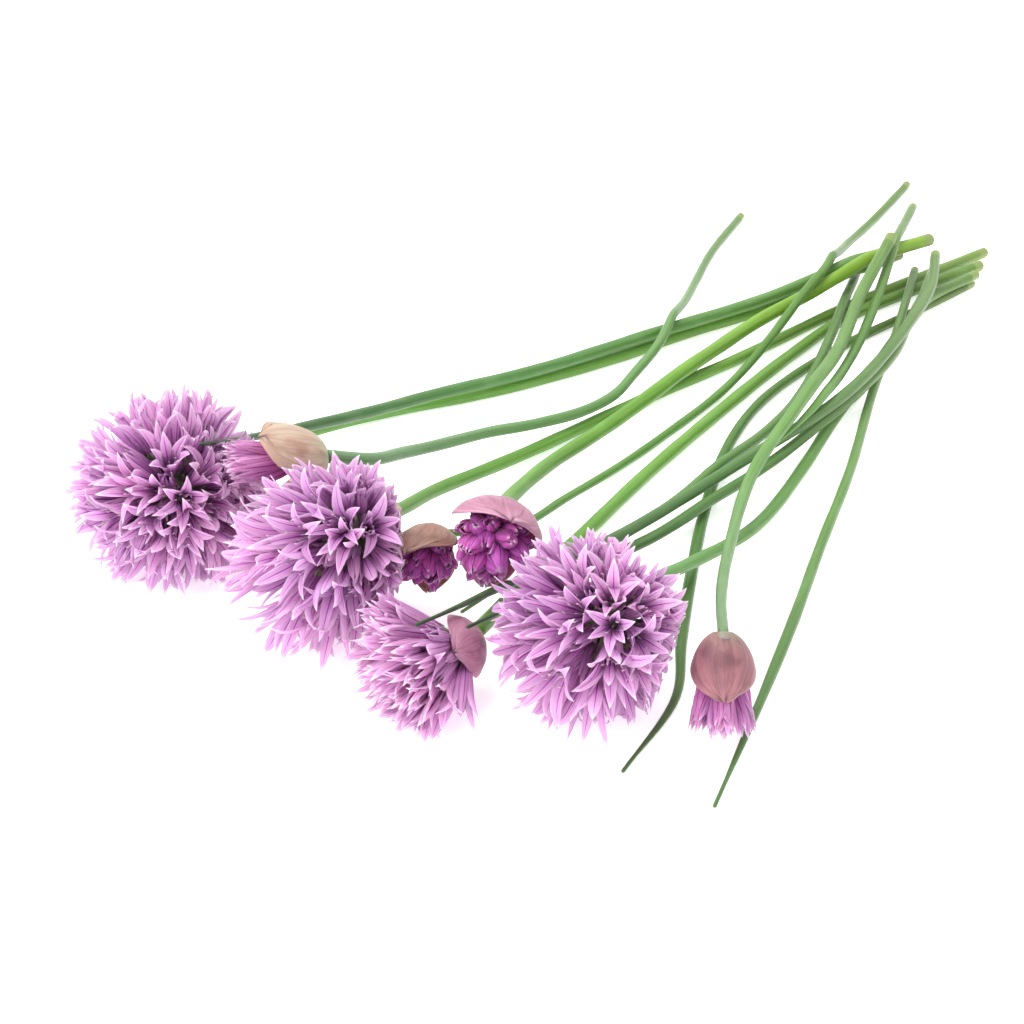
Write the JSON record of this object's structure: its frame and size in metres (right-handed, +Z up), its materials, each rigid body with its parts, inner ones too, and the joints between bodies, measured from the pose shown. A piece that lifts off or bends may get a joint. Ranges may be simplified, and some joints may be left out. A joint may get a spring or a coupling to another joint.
{
  "type": "chive bunch",
  "caption": "Loose bunch of cut flowering chives lying flat: round lavender flower heads and papery buds on slender green stalks, with tapering hollow leaves.",
  "frame": {"origin": "middle of the bunch's footprint, on the table it lies on", "axes": "+X along the stalks from the flower heads to the cut ends, +Z up from the table"},
  "size_m": [0.3206, 0.1482, 0.0377],
  "materials": {
    "leaf_green": "satin, faintly waxy, fine lengthwise ribs",
    "stalk_green": "satin, smooth, fresh green",
    "stalk_bright_green": "satin, smooth, bright yellow-green",
    "stalk_grey_green": "matte, bluish waxy bloom",
    "petal_lavender": "matte lavender pink with a purple midvein",
    "petal_magenta": "matte dark magenta, closed florets",
    "bract_beige": "papery, matte, finely veined, beige",
    "bract_pink": "papery, matte, finely veined, dusty pink",
    "bract_brown": "papery, matte, finely veined, brown"
  },
  "bodies": {
    "root": {"leaf_lowest": "leaf_green", "stalk_middle_bloom": "stalk_green", "stalk_half_bloom": "stalk_green", "stalk_front_bloom": "stalk_grey_green", "leaf_front": "leaf_green", "leaf_hidden_tip": "leaf_green", "stalk_left_bloom": "stalk_green", "leaf_over_left_bloom": "leaf_green", "stalk_round_bud": "stalk_bright_green", "stalk_opening_bud": "stalk_grey_green", "leaf_beside_half_bloom": "leaf_green", "leaf_over_half_bloom": "leaf_green", "leaf_short": "leaf_green", "stalk_capped_bud": "stalk_grey_green", "stalk_small_bud": "stalk_green", "left_bloom": "petal_lavender", "middle_bloom": "petal_lavender", "front_bloom": "petal_lavender", "half_bloom": "petal_lavender", "opening_bud": "petal_lavender", "small_bud": "petal_magenta", "round_bud": "petal_magenta", "capped_bud": "petal_lavender", "opening_bud_bract_upper": "bract_beige", "opening_bud_bract_lower": "bract_brown", "small_bud_bract_upper": "bract_brown", "small_bud_bract_lower": "bract_brown", "round_bud_bract_upper": "bract_pink", "round_bud_bract_lower": "bract_pink", "capped_bud_bract_upper": "bract_pink", "capped_bud_bract_lower": "bract_brown", "half_bloom_bract": "bract_pink", "middle_bloom_bract_upper": "bract_beige", "middle_bloom_bract_lower": "bract_brown", "front_bloom_bract": "bract_beige"}
  },
  "joints": []
}
